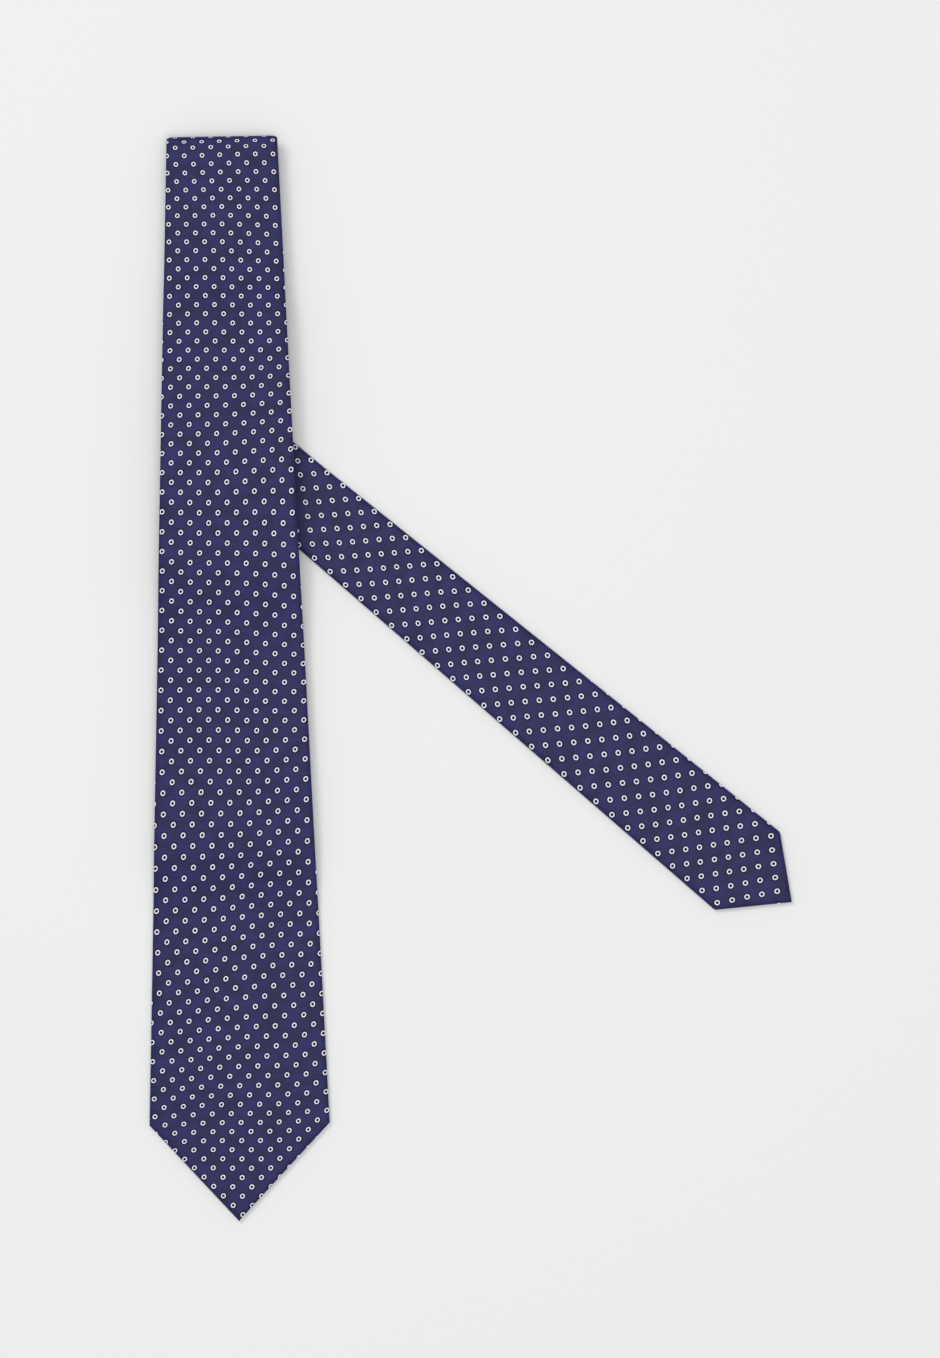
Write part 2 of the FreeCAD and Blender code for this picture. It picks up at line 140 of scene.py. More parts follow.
RAMP_1, RAMP_2, RAMP_3 = (50.0, 35.0), (176.0, 60.0), (306.0, 45.0)
S_TOP = BLADE - OUTER_ROLL
S_BACK = S_TOP + TURN
S_LOWER = S_BACK + LOWER_AXIS - OUTER_ROLL
S_MIDDLE = S_LOWER + TURN
S_INNER_FOLD = S_MIDDLE + LOWER_AXIS - INNER_AXIS
S_INNER = S_INNER_FOLD + TURN
S_CREASE = S_INNER + CREASE_DEPTH - INNER_AXIS
S_TAIL = S_CREASE + TURN * math.sin(CREASE_ANGLE)

FRONT = Run(
    "front_blade", [PITCH * 3, GAP + PITCH * 4, PITCH * 2, GAP], [RAMP_1, RAMP_2, RAMP_3],
    True, lambda d: BLADE - d, (BLADE - BLADE_TIP, BLADE_TIP, TIP_LEAN),
)
BACK = Run(
    "back_run", [PITCH * 2, GAP + PITCH * 3, PITCH], [RAMP_1, RAMP_2],
    False, lambda d: S_BACK + d - OUTER_ROLL,
)
MIDDLE = Run(
    "middle_run", [PITCH, GAP + PITCH * 2, 0.0], [RAMP_1, RAMP_2],
    True, lambda d: S_MIDDLE + LOWER_AXIS - d,
)
INNER = Run(
    "inner_run", [0.0, GAP + PITCH], [RAMP_1],
    False, lambda d: S_INNER + d - INNER_AXIS,
)
TAIL = TailRun(
    "tail", [GAP], [], True, lambda d: S_TAIL + d, (TAIL_STRAIGHT, TAIL_TIP, TAIL_LEAN),
)


def front_half(d):
    if d <= BLADE - BLADE_TIP:
        return FOLD_HALF + TAPER * d
    return (BLADE - d) * BLADE_HALF / BLADE_TIP


def back_half(d):
    return max(NECK_HALF, FOLD_HALF - TAPER * d)


def neck_half(d):
    return NECK_HALF


def tail_half(d):
    if d <= TAIL_STRAIGHT:
        share = max(0.0, d - TAIL_PLAIN) / (TAIL_STRAIGHT - TAIL_PLAIN)
        return lerp(NECK_HALF, TAIL_HALF, share)
    return (TAIL_LENGTH - d) * TAIL_HALF / TAIL_TIP


# ---- the sleeve's cross-section

def slab(left, right, low, high, arc, columns):
    """Points (v, n, which side, how far along it) round a flat section with rounded edges."""
    radius, middle = (high - low) / 2, (high + low) / 2
    left, right = radius - left, right - radius
    for side, near, far in ((1, right, left), (-1, left, right)):
        for k in range(arc + 1):
            turn = math.pi * (k / arc - 0.5)
            yield (near + side * radius * math.cos(turn),
                   middle + side * radius * math.sin(turn), side, 0.0)
        for k in range(1, columns):
            yield lerp(near, far, k / columns), middle + side * radius, side, k / columns


EDGE_STEPS = [0.0, 0.1, 0.3, 0.7, 1.3, 2.2, EDGE]
FRONT_COLUMNS, FLAP_COLUMNS = 20, 8
TURN_IN = 5.0  # width of the folded-in hem along a flap's edge
LAP, UNDERLAP = 0.6, 5.0  # how far the upper and the lower flap pass the middle
TUCK = 0.42  # how far the lower flap is pressed in under the upper one
HEM_SPREAD = 0.4  # how far apart a flap and its hem lie
HEM_ROUND = 0.12  # how far the fold between them reaches


def thickness(distance):
    t = 1 - min(max(distance, 0.0), EDGE) / EDGE
    return HALF * math.sqrt(max(0.0, 1 - t * t))


def section(left, right, lean, gap_left, gap_right, lapped):
    """The cloth's path round the sleeve, seen along the strip: a list of (v, n, u).

    left and right are the half widths, lean how much nearer an edge is than it seems across
    the strip, and gap_left and gap_right where the two flaps of the back end.  u is how far
    the cloth has run from the middle of the face.
    """
    small = min(1.0, min(left, right) / 6)
    steps = [e * small for e in EDGE_STEPS]

    def height(v):
        distance = (left + v) if v < 0 else (right - v)
        return thickness(distance * lean)

    def under(v):
        """Depth at which the lower flap slips under the upper one."""
        return TUCK * lapped * smooth((4.0 - v) / 3.0)

    hem = min(TURN_IN, 0.5 * (left + gap_left))
    points = []
    out = -height(gap_left)
    fold = HEM_SPREAD * min(1.0, -out / HALF)
    for v, n in (
        (gap_left - hem, out + fold), (gap_left - hem / 2, out + fold),
        (gap_left - HEM_ROUND, out + fold), (gap_left + HEM_ROUND / 4, out + fold / 2),
    ):
        points.append((v, n, -2 * left - 2 * gap_left + v))
    span = left - steps[-1] + gap_left
    for k in range(FLAP_COLUMNS + 1):
        v = gap_left - HEM_ROUND * (k == 0) - span * k / (FLAP_COLUMNS + 1)
        points.append((v, -height(v), -2 * left - v))
    for e in reversed(steps):
        v = -left + e
        points.append((v, -thickness(e * lean), -2 * left - v))
    for e in steps[1:]:
        points.append((-left + e, thickness(e * lean), -left + e))
    wide = left + right - 2 * steps[-1]
    for k in range(1, FRONT_COLUMNS + 1):
        v = -left + steps[-1] + wide * k / (FRONT_COLUMNS + 1)
        points.append((v, height(v), v))
    for e in reversed(steps):
        points.append((right - e, thickness(e * lean), right - e))
    for e in steps[1:]:
        v = right - e
        points.append((v, -thickness(e * lean), 2 * right - v))
    span = right - steps[-1] - gap_right
    for k in range(FLAP_COLUMNS + 1):
        v = right - steps[-1] - span * (k + 1) / (FLAP_COLUMNS + 1)
        v = v + HEM_ROUND * (k == FLAP_COLUMNS)
        points.append((v, -height(v) + under(v), 2 * right - v))
    hem = min(TURN_IN, 0.5 * (right - gap_right))
    out = -height(gap_right) + under(gap_right)
    for v, n in (
        (gap_right - HEM_ROUND / 4, out + fold / 2), (gap_right + HEM_ROUND, out + fold),
        (gap_right + hem / 2, out + fold), (gap_right + hem, out + fold),
    ):
        points.append((v, n, 2 * right - 2 * gap_right + v))
    return points


def kite(d, length, tip_height, corner_half, tack, flap, hem):
    """Where the flaps end at a depth: (left, right, how far they still lap)."""
    if d <= tack:
        return LAP * smooth((tack - d) / 4), -UNDERLAP * smooth((tack - d) / 25), 1.0
    steep = tip_height / corner_half
    wide = corner_half - flap
    inner_tip = length - math.sqrt(1 + steep * steep) * hem
    waist = inner_tip - steep * wide
    if d <= waist:
        gap = wide * smooth_line((d - tack) / (waist - tack))
    else:
        gap = max(0.04, (inner_tip - d) / steep)
    return -gap, gap, max(0.0, 1 - (d - tack) / 6)


def smooth_line(t):
    """A line that starts with a short curve, as a flap leaves its tack."""
    return math.sqrt(t * t + 0.0025) - 0.05 + 0.05 * t


def half_widths(half_at, d, slope):
    """How far a row reaches to the left and right edge when it leans across the strip."""
    left = right = half_at(d)
    for _ in range(4):
        left = half_at(d - slope * left)
        right = half_at(d + slope * right)
    return left, right


class Shape:
    """What a run's cross-section is at each depth."""

    def __init__(self, half_at, length=None, tip_height=0.0, corner_half=0.0, *opening):
        self.half_at, self.length = half_at, length
        self.tip_height, self.corner_half = tip_height, corner_half
        self.opening = opening  # the tack's depth, the width of the flaps, and of the hem

    def row(self, d, slope=0.0):
        """The section at a depth: a list of (v, n, u, how far beyond the depth it was cut)."""
        left, right = half_widths(self.half_at, d, slope)
        lean = 1.0
        gap_left, gap_right, lapped = LAP, -UNDERLAP, 1.0
        if self.length is not None:
            corner = self.length - self.tip_height
            steep = self.tip_height / self.corner_half
            lean = lerp(1.0, steep / math.sqrt(1 + steep * steep), smooth((d - corner + 2) / 4))
            gap_left, gap_right, lapped = kite(
                d, self.length, self.tip_height, self.corner_half, *self.opening)
            if d > corner:
                gap_left, gap_right = max(gap_left, -0.4 * left), min(gap_right, 0.4 * right)
        points = section(left, right, lean, gap_left, gap_right, lapped)
        if self.length is None:
            return [(v, n, u, 0.0) for v, n, u in points]
        turned = smooth((d - corner + 0.6) / 1.2)
        return [(v, n, *self.folded(v, n, u, d, steep, turned)) for v, n, u in points]

    def folded(self, v, n, u, d, steep, turned):
        """Where cloth that is folded back along a tip's slanted edge has come from."""
        if n > 0 or turned == 0:
            return u, 0.0
        slant = math.sqrt(1 + steep * steep)
        side = -1.0 if u < 0 else 1.0
        inside = (self.length - d - steep * side * v) / slant
        mirrored = v + side * 2 * inside * steep / slant
        return lerp(u, mirrored, turned), turned * 2 * inside / slant


FRONT_SHAPE = Shape(front_half, BLADE, BLADE_TIP, BLADE_HALF, TACK, BLADE_FLAP, HEM)
BACK_SHAPE = Shape(back_half)
NECK_SHAPE = Shape(neck_half)
TAIL_SHAPE = Shape(tail_half, TAIL_LENGTH, TAIL_TIP, TAIL_HALF, TAIL_TACK, TAIL_FLAP,
                   TAIL_HEM)


# ---- cloth meshes

MOTIF = 6.0  # side of the motif's own square grid, set cornerwise
DIAMOND = MOTIF * math.sqrt(2)  # from a row or column to the next but one
S_CROWN = S_TOP + TURN / 2
ROLLED, ROLL_REACH, ROLL_START = 4.8, 1.5, 0.7  # the print that the top fold takes in
BLADE_WAVES = [  # depth, reach and slope of the waves in the rows
    (45, 27, 0.033), (132, 24, -0.026), (208, 44, 0.060), (368, 66, -0.044), (478, 26, 0.022),
]
# whole diamonds away from the blade's map, where the motif's rings don't lean
TAIL_PHASE = 5.27 - 80 * DIAMOND


def hill(x, centre, reach, height):
    return height * math.exp(-((x - centre) / reach) ** 2)


def row_spacing(depth):
    """How far every second row is apart on the blade, which was cut a little off the bias."""
    looser = hill(depth, 295, 150, 1.3) + hill(depth, 165, 20, 0.5)
    tighter = hill(depth, 232, 22, 0.35) + hill(depth, 437, 16, 0.5)
    return 7.9 + looser - tighter


BLADE_ROWS = [0.0]  # how much print lies above each millimetre of the blade's depth
for row_depth in range(500):
    BLADE_ROWS.append(BLADE_ROWS[-1] + DIAMOND / row_spacing(row_depth + 0.5))


def blade_print(u, s):
    """Where a point of the cloth is on the motif's own grid, in millimetres."""
    depth = S_CROWN - s
    if depth > 0:
        whole = int(depth)
        run = lerp(BLADE_ROWS[whole], BLADE_ROWS[whole + 1], depth - whole)
    else:
        run = depth * DIAMOND / row_spacing(0)
    over = depth - ROLL_START
    rolled = math.copysign(ROLLED * (1 - math.exp(-abs(over) / ROLL_REACH)), over) - ROLL_START
    slope = sum(hill(depth, *wave) for wave in BLADE_WAVES)
    drift = 0.45 * smooth(depth / 30) + hill(depth, 130, 80, 0.4) - hill(depth, 250, 38, 1.1)
    drift += 0.024 * max(0, depth - 350) - 0.6 * smooth((depth - 230) / 80)
    run += 1.2 * smooth(depth / 50) + hill(depth, 125, 35, 0.8) + hill(depth, 285, 38, 0.95)
    along = run + rolled - slope * u + 0.25 * math.sin(u / 9 + depth / 28)
    across = (u - drift) * DIAMOND / (7.85 + 0.62 * smooth(depth / 300)) + 1.2
    return across, along


def neck_print(u, s):
    return u * 1.02 + 2.3, s + 0.3 * math.sin(u / 11 + s / 30)


def tail_print(u, s):
    length = s - S_TAIL
    slope = -0.045 - hill(length, 215, 40, 0.04) + 0.04 * smooth((length - 250) / 50)
    drift = 0.03 * max(0, length - 285) - hill(length, 200, 70, 0.3) + hill(length, 60, 50, 0.8)
    run = length * 0.926 + 3.0 * smooth((length - 240) / 80) + hill(length, 165, 70, 1.3)
    run += TAIL_PHASE
    along = run + slope * u + 0.25 * math.sin(u / 9 - length / 30)
    spacing = 8.1 + 1.4 * min(1.0, max(0.0, length - 40) / 260)
    return (u + drift) * DIAMOND / spacing - 0.67, along


CUTS = {}  # width, length and area of each flat sheet, in metres


def face_outwards(mesh, rows):
    """Turns the faces of a sleeve away from its inside."""
    centres = [sum((p for p, _, _ in row), Vector()) / len(row) for row in rows]
    count = len(rows[0])
    outward = sum(
        (f.center - centres[f.vertices[0] // count]).dot(f.normal) * f.area
        for f in mesh.polygons
    )
    if outward < 0:
        mesh.flip_normals()


def polyline(points):
    return sum((b - a).length for a, b in zip(points, points[1:]))


def add_map(mesh, name, places, unit=1000):
    """Gives each vertex its place on the flat cloth."""
    layer = mesh.uv_layers.new(name=name)
    for loop in mesh.loops:
        layer.data[loop.index].uv = [x / unit for x in places[loop.vertex_index]]


def add_object(name, data):
    made = bpy.data.objects.new(name, data)
    bpy.context.collection.objects.link(made)
    return made


def add_piece(name, mesh):
    """A piece made of a mesh, smooth except at its ends."""
    for face in mesh.polygons:
        face.use_smooth = len(face.vertices) == 4
    return add_object(name, mesh)


def cloth(name, rows, body=None, print_at=None, silk=SILK, closed=False):
    """A sheet of cloth from rows of (point, u, s), with maps of its weave and its print.

    A closed one is a slab whose rows run all the way round it.
    """
    count = len(rows[0])
    mesh = bpy.data.meshes.new(name)
    points = [p for row in rows for p, _, _ in row]
    wrap = count if closed else count - 1
    faces = [
        (r * count + c, r * count + (c + 1) % count, (r + 1) * count + (c + 1) % count,
         (r + 1) * count + c)
        for r in range(len(rows) - 1) for c in range(wrap)
    ]
    if closed:
        last = (len(rows) - 1) * count
        faces += [tuple(range(count))[::-1], tuple(range(last, last + count))]
    mesh.from_pydata(points, [], faces)
    flat = [(u, s) for row in rows for _, u, s in row]
    add_map(mesh, "cloth", flat)
    if print_at:
        add_map(mesh, "motif", [print_at(u, s) for u, s in flat])
    face_outwards(mesh, rows)
    piece = add_piece(name, mesh)
    width = max(polyline([p for p, _, _ in row]) for row in rows)
    length = max(polyline([row[c][0] for row in rows]) for c in range(count))
    CUTS[name] = (width, length, sum(f.area for f in mesh.polygons))
    if silk:
        thicken(piece, silk)
    if body:
        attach(piece, body)
    return piece


def thicken(piece, silk):
    """Gives a sheet its thickness, inwards, and keeps its cut edges crisp."""
    solid = piece.modifiers.new("thickness", "SOLIDIFY")
    solid.thickness = silk / 1000
    solid.offset = -1
    made = piece.evaluated_get(bpy.context.evaluated_depsgraph_get())
    mesh = bpy.data.meshes.new_from_object(made)
    piece.modifiers.clear()
    piece.data = mesh
    mesh.set_sharp_from_angle(angle=math.radians(60))


def depths(start, end, step):
    count = max(1, round(abs(end - start) / step))
    return [lerp(start, end, k / count) for k in range(count + 1)]


def stretches(*parts):
    """The depths of several stretches in a row, each with a step of its own."""
    return [d for part in parts for d in depths(*part)[:-1]]


PINCH = 0.25  # how far a piecing seam draws the cloth in


def panel(name, run, shape, depth_list, slopes, print_at=None, pinch=(), **how):
    """One shell panel of a run; slopes gives how far each row leans across the strip."""
    rows = []
    for d, slope in zip(depth_list, slopes):
        squeeze = 1 - sum(PINCH * max(0.0, 1 - abs(d - seam)) for seam in pinch)
        row = []
        for v, n, u, beyond in shape.row(d, slope):
            deep = d + slope * v
            row.append((run.at(v, deep, n * squeeze), u, run.s_at(deep + beyond)))
        rows.append(row)
    return cloth(name, rows, run.body, print_at, **how)


FLAT, CREASE_FLAT = 6.0, 3.0  # how far a fold's piece reaches into the flat runs
STEP = 3.2  # between two rows of a panel, where it lies plain
SEAM_GAP = 0.15  # from a piecing seam to the edge of the panel beside it


def slope_list(depth_list, start, end):
    first, last = depth_list[0], depth_list[-1]
    return [lerp(start, end, smooth((d - first) / (last - first))) for d in depth_list]


# rows are closest where the flaps part, at the corners and towards the points
front_depths = stretches(
    (OUTER_ROLL + FLAT, TACK - 6, STEP), (TACK - 6, TACK + 8, 1.0), (TACK + 8, 434, 3.0),
    (434, 450, 1.0), (450, 479, 1.5),
) + [479.0, 479.7, 480.3, 480.7, 480.95]
tail_start = CREASE_FLAT / math.sin(CREASE_ANGLE)
tail_depths = stretches(
    (tail_start, 110, 3.0), (110, TAIL_TACK - 6, STEP), (TAIL_TACK - 6, TAIL_TACK + 8, 1.0),
    (TAIL_TACK + 8, 297, 3.0), (297, 309, 1.0), (309, 322, 1.4),
) + [322.0, 322.9, 323.6, 324.0, 324.25]
back_a = depths(OUTER_ROLL + FLAT, NECK_SEAM - SEAM_GAP, STEP)
back_b = depths(NECK_SEAM + SEAM_GAP, LOWER_AXIS - FLAT, STEP)
mid_a = depths(INNER_AXIS + FLAT, TAIL_SEAM - SEAM_GAP, STEP)
mid_b = depths(TAIL_SEAM + SEAM_GAP, LOWER_AXIS - FLAT, STEP)
inner_depths = depths(INNER_AXIS + FLAT, CREASE_DEPTH - tail_start, 3.0)

straight = [0.0] * len(front_depths)
back_a_slopes, back_b_slopes = slope_list(back_a, 0, 1), slope_list(back_b, 1, 0)
mid_a_slopes, mid_b_slopes = slope_list(mid_a, 0, 1), slope_list(mid_b, 1, 0)
inner_slopes = slope_list(inner_depths, 0, CREASE_SLOPE)
tail_slopes = [CREASE_SLOPE * (1 - smooth((d - tail_start) / 100)) for d in tail_depths]
PANELS = [
    ("blade_shell_front", FRONT, FRONT_SHAPE, front_depths, straight, blade_print, ()),
    ("blade_shell_back", BACK, BACK_SHAPE, back_a, back_a_slopes, blade_print, (NECK_SEAM,)),
    ("neck_shell_upper", BACK, BACK_SHAPE, back_b, back_b_slopes, neck_print, (NECK_SEAM,)),
    ("neck_shell_lower", MIDDLE, NECK_SHAPE, mid_b, mid_b_slopes, neck_print, (TAIL_SEAM,)),
    ("tail_shell_upper", MIDDLE, NECK_SHAPE, mid_a, mid_a_slopes, tail_print, (TAIL_SEAM,)),
    ("tail_shell_neck", INNER, NECK_SHAPE, inner_depths, inner_slopes, tail_print, ()),
    ("tail_shell_tip", TAIL, TAIL_SHAPE, tail_depths, tail_slopes, tail_print, ()),
]
shells = {entry[0]: panel(f"{entry[0]}_silk", *entry[1:]) for entry in PANELS}


# ---- the folds

ARC = 14  # steps round a fold


def fold_rows(shape_of, lower, upper, axis, axis_z, bulge, face_out, slope):
    """Rows from the lower run, round the fold and into the upper run."""
    shape_low, shape_high = shape_of[lower], shape_of[upper]
    flat = FLAT if slope == 0.0 else CREASE_FLAT / math.sin(CREASE_ANGLE)
    axis_low, axis_high = (axis, axis) if slope == 0.0 else (0.0, axis)
    side = -1.0 if bulge > 0 else 1.0
    rows = []
    for k in range(3):
        start = flat * (1 - k / 3)
        d0 = axis_low - side * start if slope == 0.0 else start
        rows.append([
            (lower.at(v, d0 + slope * v, n), u, lower.s_at(d0 + slope * v))
            for v, n, u, _ in shape_low.row(d0, slope)
        ])
    low, high = shape_low.row(axis_low, slope), shape_high.row(axis_high, slope)
    for k in range(ARC + 1):
        t = k / ARC
        turn = math.pi * t
        row = []
        for (v, n, u, _), (v2, n2, u2, _) in zip(low, high):
            v, n, u = lerp(v, v2, t), lerp(n, n2, t), lerp(u, u2, t)
            radius = MID_ROLL + (n if face_out else -n)
            out, z = radius * math.sin(turn), axis_z - radius * math.cos(turn)
            s = lerp(lower.s_at(axis_low + slope * v), upper.s_at(axis_high + slope * v), t)
            if slope == 0.0:
                point = place(v, -axis + bulge * out, z)
            else:
                along = v / math.sin(CREASE_ANGLE)
                point = place_tail(-out, -along, z, CREASE_ANGLE)
            row.append((point, u, s))
        rows.append(row)
    for k in range(1, 4):
        start = flat * k / 3
        d0 = axis_high - side * start if slope == 0.0 else axis_high - start
        rows.append([
            (upper.at(v, d0 + slope * v, n), u, upper.s_at(d0 + slope * v))
            for v, n, u, _ in shape_high.row(d0, slope)
        ])
    return rows


def bend(piece, lower, upper, axis, axis_z):
    """Bakes the piece's placement into its mesh."""
    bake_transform(piece)


FOLDS = [  # name, print, then the two runs, the axis, the way it bulges and its slant
    ("top_fold", blade_print, BACK, FRONT, OUTER_ROLL, PITCH * 3 - AIR / 2, 1, True, 0.0),
    ("lower_fold", neck_print, MIDDLE, BACK, LOWER_AXIS, OUTER_ROLL, -1, False, 0.0),
    ("inner_fold", tail_print, INNER, MIDDLE, INNER_AXIS, OUTER_ROLL, 1, True, 0.0),
    ("tail_fold", tail_print, TAIL, INNER, CREASE_DEPTH, GAP + OUTER_ROLL, -1, False,
     CREASE_SLOPE),
]
SHAPE_OF = {FRONT: FRONT_SHAPE, BACK: BACK_SHAPE, MIDDLE: NECK_SHAPE, INNER: NECK_SHAPE,
            TAIL: TAIL_SHAPE}
for name, print_at, *fold in FOLDS:
    rows = fold_rows(SHAPE_OF, *fold)
    shells[f"{name}_shell"] = cloth(f"{name}_silk", rows, print_at=print_at)
    bend(shells[f"{name}_shell"], *fold[:4])


# ---- the woollen interlining

PAD = 0.55  # half the thickness of the wool
PAD_INSET = 1.6  # how far it stops from the sleeve's pressed edges
PAD_COLUMNS = 10
WOOL_END = 7.4  # how far it stops from a tip's point
JOIN_DEPTH = 155.0  # where the blade's and the tail's wool meet


class Pad:
    """The cross-section of the wool: a soft slab, thinner where a lining lies under it."""

    def __init__(self, half_at, low=-PAD, tip=None):
        self.half_at, self.low, self.tip = half_at, low, tip

    def row(self, d, slope=0.0):
        left, right = half_widths(self.half_at, d, slope)
        if self.tip:
            length, steep, inset = self.tip
            left = right = min(left, (length - d) / steep - inset + PAD_INSET)
        left, right = max(left - PAD_INSET, 0.9), max(right - PAD_INSET, 0.9)
        nap = math.sin(0.9 * d)
        return [(v, n + 0.02 * math.sin(1.7 * v) * nap, v, 0.0)
                for v, n, _, _ in slab(left, right, self.low, PAD, 6, PAD_COLUMNS)]


BLADE_STEEP, TAIL_STEEP = BLADE_TIP / BLADE_HALF, TAIL_TIP / TAIL_HALF
TIP_INSET = 6.2  # and how far from its slanted edges
LINED_LOW = -0.3  # underside of the wool where a lining lies under it
FRONT_PAD = Pad(front_half, LINED_LOW, (BLADE, BLADE_STEEP, TIP_INSET))
TAIL_PAD = Pad(tail_half, LINED_LOW, (TAIL_LENGTH, TAIL_STEEP, TIP_INSET))
BACK_PAD, NECK_PAD = Pad(back_half), Pad(neck_half)

wool = {}


def pad(node, run, shape, start, end, lean_start=0.0, lean_end=0.0):
    rows = depths(start, end, 5.0)
    wool[node] = panel(f"{node}_wool", run, shape, rows, slope_list(rows, lean_start, lean_end),
                       silk=None, closed=True)


pad("blade_interlining_front", FRONT, FRONT_PAD, OUTER_ROLL + FLAT, BLADE - WOOL_END)
pad("blade_interlining_back", BACK, BACK_PAD, OUTER_ROLL + FLAT, LOWER_AXIS - FLAT)
pad("blade_interlining_neck", MIDDLE, NECK_PAD, JOIN_DEPTH + SEAM_GAP, LOWER_AXIS - FLAT,
    1, 0)
pad("tail_interlining_upper", MIDDLE, NECK_PAD, INNER_AXIS + FLAT, JOIN_DEPTH - SEAM_GAP,
    0, 1)
pad("tail_interlining_neck", INNER, NECK_PAD, INNER_AXIS + FLAT, CREASE_DEPTH - tail_start,
    0, CREASE_SLOPE)
pad("tail_interlining_tip", TAIL, TAIL_PAD, tail_start, TAIL_LENGTH - WOOL_END, CREASE_SLOPE, 0)

PAD_OF = {FRONT: FRONT_PAD, BACK: BACK_PAD, MIDDLE: NECK_PAD, INNER: NECK_PAD, TAIL: TAIL_PAD}
for name, _, *fold in FOLDS:
    rows = fold_rows(PAD_OF, *fold)
    wool[f"{name}_interlining"] = cloth(f"{name}_wool", rows, silk=None, closed=True)
    bend(wool[f"{name}_interlining"], *fold[:4])


# ---- the linings of the tips

LINING_COVER = 24.0  # how far it reaches above the tack
LINING_INSET, LINING_EDGE = 2.4, 2.1  # how far it stops from the point and the slants
LINING_STEP, LINING_COLUMNS = 2.4, 12
LINING_N, LINING_THICK = -0.46, 0.12


def tipping(name, run, half_at, length, steep, start):
    """A plain lining behind the wool of a tip, seen between the parted flaps."""
    rows = []
    for d in depths(start, length - LINING_INSET, LINING_STEP):
        half = max(0.12, min(half_at(d) - PAD_INSET, (length - d) / steep - LINING_EDGE))
        row = []
        for k in range(-LINING_COLUMNS, LINING_COLUMNS + 1):
            v = half * k / LINING_COLUMNS
            ripple = 0.035 * math.sin(v / 4.1 + d / 9) + 0.02 * math.sin(d / 5.3 - v / 7)
            row.append((run.at(v, d, LINING_N + ripple), v, run.s_at(d)))
        rows.append(row)
    return cloth(name, rows, run.body, silk=LINING_THICK)


linings = {
    "blade_tipping": tipping("blade_tipping_satin", FRONT, front_half, BLADE, BLADE_STEEP,
                             TACK - LINING_COVER),
    "tail_tipping": tipping("tail_tipping_satin", TAIL, tail_half, TAIL_LENGTH, TAIL_STEEP,
                            TAIL_TACK - LINING_COVER),
}


# ---- thread

SIDES = 6  # of a thread's cross-section
FINE, MACHINE, COARSE = 0.10, 0.11, 0.12  # radius of a thread
SUNK = 0.08  # from a label's face to the middle of its stitches
SLIP_STEP, SEAM_STEP = 6.5, 2.4  # between two stitches


class Thread:
    """A set of short lengths of thread in one piece."""

    def __init__(self, radius):
        self.radius = radius
        self.points, self.faces, self.flat = [], [], []

    def stitch(self, path):
        """One length of thread along a path, in metres, narrowing into the cloth at its ends."""
        start, last = len(self.points), len(path) - 1
        run = 0.0
        for k, point in enumerate(path):
            ahead = (path[min(k + 1, last)] - path[max(k - 1, 0)]).normalized()
            side = ahead.cross(Vector((0, 0, 1)))
            side = side.normalized() if side.length > 1e-6 else Vector((1, 0, 0))
            up = side.cross(ahead)
            radius = self.radius / 1000 * (0.55 if k in (0, last) else 1.0)
            run += (point - path[max(k - 1, 0)]).length
            for j in range(SIDES):
                turn = 2 * math.pi * j / SIDES
                self.points.append(point + radius * (side * math.cos(turn) + up * math.sin(turn)))
                self.flat.append((radius * turn, run))
        for k in range(last):
            for j in range(SIDES):
                a, b = start + k * SIDES + j, start + k * SIDES + (j + 1) % SIDES
                self.faces.append((a, b, b + SIDES, a + SIDES))
        end = start + last * SIDES
        self.faces.append(tuple(start + j for j in range(SIDES))[::-1])
        self.faces.append(tuple(end + j for j in range(SIDES)))

    def finish(self, node, body, ending="thread"):
        name = f"{node}_{ending}"
        mesh = bpy.data.meshes.new(name)
        mesh.from_pydata(self.points, [], self.faces)
        add_map(mesh, "cloth", self.flat, unit=1)
        threads[node] = add_piece(name, mesh)
        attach(threads[node], body)


threads = {}


def slip_stitch(name, run, start, end):
    """Hand stitches that catch the upper flap's edge to the flap below it."""
    thread = Thread(FINE)
    for k in range(int((end - start) / SLIP_STEP)):
        d = start + SLIP_STEP * (k + 0.5) + 0.5 * math.sin(2.3 * k)
        path = [(1.9, -0.70, 0.0), (1.4, -0.86, 0.35), (0.8, -1.0, 0.8), (0.3, -1.0, 1.15),
                (-0.1, -0.86, 1.4)]
        thread.stitch([run.at(v, d + e, n) for v, n, e in path])
    thread.finish(name, run.body)


slip_stitch("slip_stitch_front", FRONT, OUTER_ROLL + FLAT, TACK - 2)
slip_stitch("slip_stitch_back", BACK, OUTER_ROLL + FLAT, LOWER_AXIS - FLAT)
slip_stitch("slip_stitch_middle", MIDDLE, INNER_AXIS + FLAT, LOWER_AXIS - FLAT)
slip_stitch("slip_stitch_inner", INNER, INNER_AXIS + FLAT, CREASE_DEPTH - tail_start - 2)
slip_stitch("slip_stitch_tail", TAIL, tail_start + 3, TAIL_TACK - 2)


def seam_thread(name, run, half_at, seam):
    """The row of machine stitches along a slanted piecing seam, on both faces."""
    thread = Thread(MACHINE)
    half = half_at(seam) - 1.2  # the stitches stop short of the pressed edges
    count = int(2 * half / SEAM_STEP)
    for side in (1, -1):
        for k in range(count):
            middle = -half + 2 * half * (k + 0.5) / count
            path = []
            for t, lift in ((-0.8, -0.12), (-0.4, 0.02), (0.4, 0.02), (0.8, -0.12)):
                v = middle + t
                n = side * (thickness(half_at(seam) - abs(v)) * (1 - PINCH) + lift)
                if side < 0 and abs(v) < 4:
                    n += 0.1
                path.append(run.at(v, seam + v, n))
            thread.stitch(path)
    thread.finish(name, run.body, "stitches")


seam_thread("neck_seam_thread", BACK, back_half, NECK_SEAM)
seam_thread("tail_seam_thread", MIDDLE, neck_half, TAIL_SEAM)


